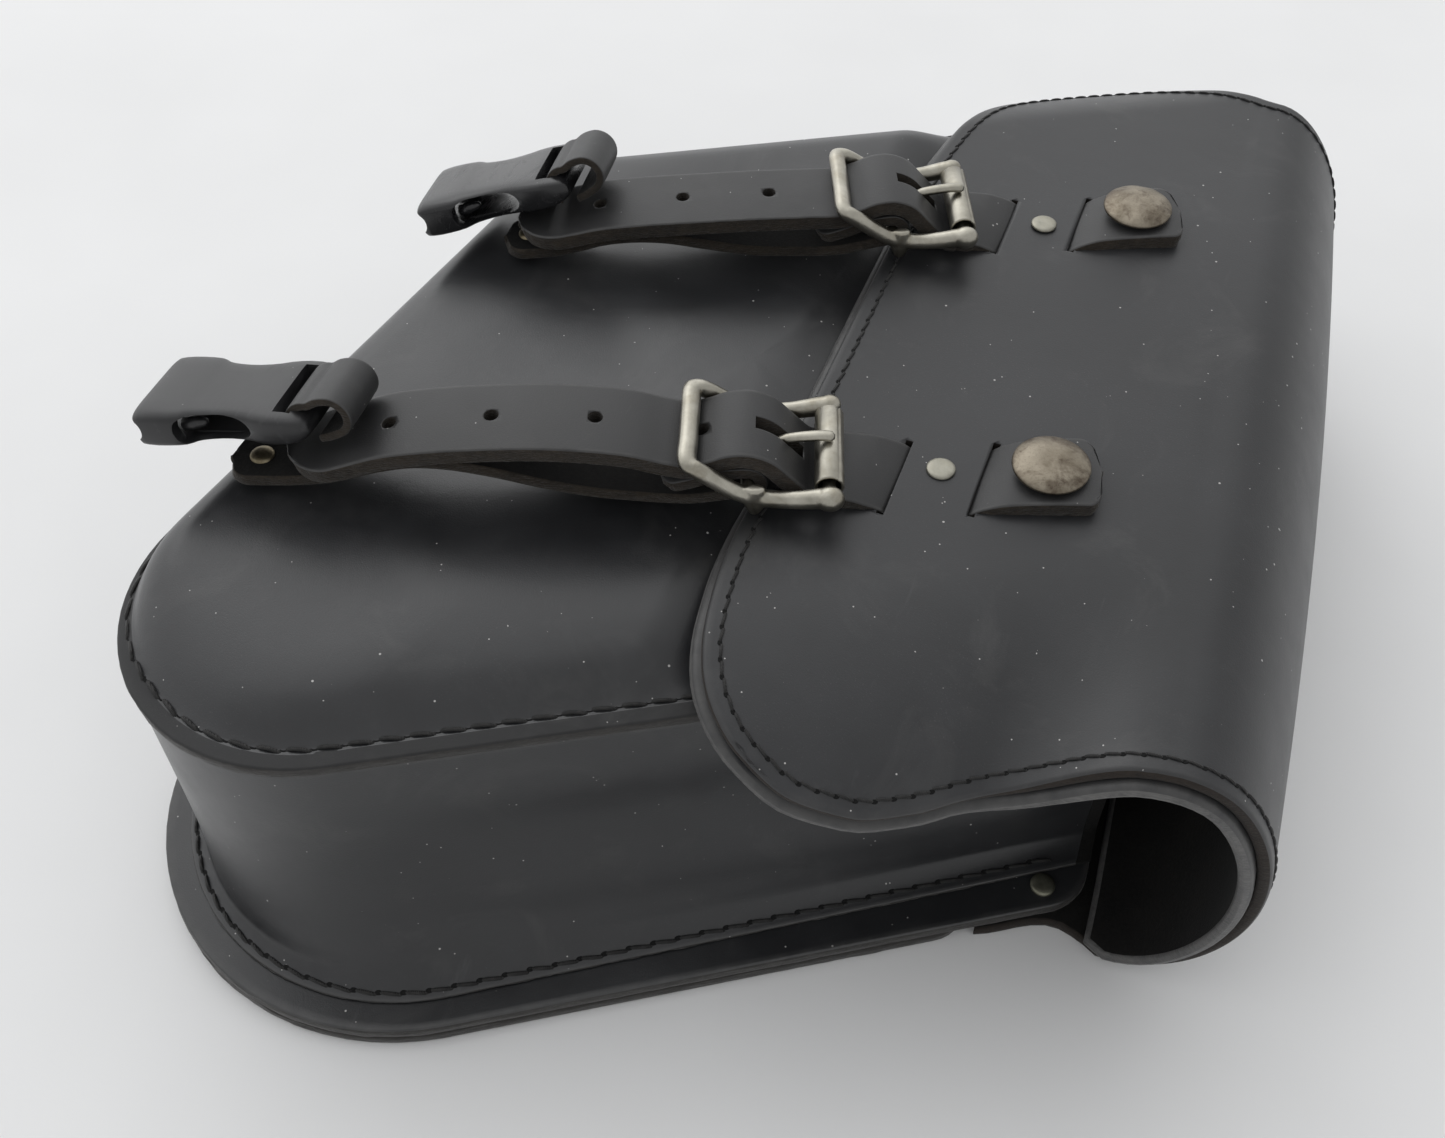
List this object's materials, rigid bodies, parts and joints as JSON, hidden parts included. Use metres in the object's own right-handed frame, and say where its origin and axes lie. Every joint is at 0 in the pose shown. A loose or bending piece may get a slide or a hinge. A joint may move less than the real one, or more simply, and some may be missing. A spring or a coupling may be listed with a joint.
{
  "type": "motorcycle saddlebag",
  "caption": "Slanted black leather saddlebag with a rolled lid, buckled straps and hidden side-release clips; moulded front, gusset and flanged back.",
  "frame": {"origin": "on the plane the back rests on, below the middle of the bag", "axes": "+Z out of the front face, +X from the bag's bottom to its mouth and rolled lid end, +Y along the lid roll towards the far side"},
  "size_m": [0.3183, 0.414, 0.1477],
  "materials": {
    "bag_leather": "smooth satin black finished leather, fine grain, black stitching",
    "lining_leather": "black leather with a burnished edge and a rough flesh side",
    "strap_leather": "satin black strap leather with raw dark brown edges",
    "nickel": "satin nickel plate, slightly worn",
    "antique_brass": "worn antique brass, mottled",
    "clip_plastic": "semi-gloss black moulded plastic"
  },
  "bodies": {
    "bag": {"front_panel": "bag_leather", "gusset": "bag_leather", "back_panel": "bag_leather", "back_reinforcement": "bag_leather", "lid_outer_back": "bag_leather", "lid_lining_back": "lining_leather", "side_rivet_near": "nickel", "side_rivet_far": "nickel", "plug_strap_near": "strap_leather", "plug_strap_far": "strap_leather", "plug_rivet_near": "nickel", "plug_rivet_far": "nickel"},
    "lid": {"lid_outer": "bag_leather", "lid_lining": "lining_leather", "strap_near": "strap_leather", "strap_far": "strap_leather", "concho_near": "antique_brass", "concho_far": "antique_brass", "concho_nut_near": "nickel", "concho_nut_far": "nickel", "strap_rivet_near": "nickel", "strap_rivet_far": "nickel"},
    "billet_near": {"billet_near": "strap_leather", "buckle_frame_near": "nickel", "chape_near": "strap_leather", "clip_loop_near": "strap_leather", "tab_rivet_near": "antique_brass"},
    "roller_near": {"buckle_roller_near": "nickel"},
    "tongue_near": {"buckle_tongue_near": "nickel"},
    "receiver_near": {"clip_receiver_near": "clip_plastic"},
    "plug_near": {"clip_plug_near": "clip_plastic"},
    "billet_far": {"billet_far": "strap_leather", "buckle_frame_far": "nickel", "chape_far": "strap_leather", "clip_loop_far": "strap_leather", "tab_rivet_far": "antique_brass"},
    "roller_far": {"buckle_roller_far": "nickel"},
    "tongue_far": {"buckle_tongue_far": "nickel"},
    "receiver_far": {"clip_receiver_far": "clip_plastic"},
    "plug_far": {"clip_plug_far": "clip_plastic"}
  },
  "joints": [
    {"name": "lid_hinge", "type": "hinge", "parent": "bag", "child": "lid", "pos_m": [0.1462, 0, 0.059], "axis": [-0.0599, 0.9982, 0], "range_deg": [0, 100]},
    {"name": "billet_lift_near", "type": "hinge", "parent": "lid", "child": "billet_near", "pos_m": [0.02429, -0.04029, 0.1194], "axis": [-0.3173, 0.9483, 0], "range_deg": [0, 45]},
    {"name": "roller_spin_near", "type": "hinge", "parent": "billet_near", "child": "roller_near", "pos_m": [0.01386, -0.04378, 0.1275], "axis": [-0.3173, 0.9483, 0], "continuous": true},
    {"name": "tongue_lift_near", "type": "hinge", "parent": "billet_near", "child": "tongue_near", "pos_m": [-0.00653, -0.05061, 0.1255], "axis": [0.3173, -0.9483, 0], "range_deg": [0, 22]},
    {"name": "receiver_swing_near", "type": "hinge", "parent": "billet_near", "child": "receiver_near", "pos_m": [-0.11664, -0.08239, 0.135], "axis": [-0.1632, 0.9736, -0.1598], "range_deg": [0, 60]},
    {"name": "plug_swing_near", "type": "hinge", "parent": "bag", "child": "plug_near", "pos_m": [-0.15889, -0.08708, 0.0455], "axis": [-0.139, -0.9903, 0], "range_deg": [-3, 80]},
    {"name": "billet_lift_far", "type": "hinge", "parent": "lid", "child": "billet_far", "pos_m": [0.02547, 0.07555, 0.1194], "axis": [-0.3827, 0.9239, 0], "range_deg": [0, 45]},
    {"name": "roller_spin_far", "type": "hinge", "parent": "billet_far", "child": "roller_far", "pos_m": [0.01743, 0.07222, 0.1275], "axis": [-0.3827, 0.9239, 0], "continuous": true},
    {"name": "tongue_lift_far", "type": "hinge", "parent": "billet_far", "child": "tongue_far", "pos_m": [-0.00243, 0.064, 0.1255], "axis": [0.3827, -0.9239, 0], "range_deg": [0, 22]},
    {"name": "receiver_swing_far", "type": "hinge", "parent": "billet_far", "child": "receiver_far", "pos_m": [-0.09584, 0.03288, 0.1359], "axis": [-0.1986, 0.9647, -0.1728], "range_deg": [0, 60]},
    {"name": "plug_swing_far", "type": "hinge", "parent": "bag", "child": "plug_far", "pos_m": [-0.14345, 0.02292, 0.0455], "axis": [-0.139, -0.9903, 0], "range_deg": [-3, 80]}
  ]
}
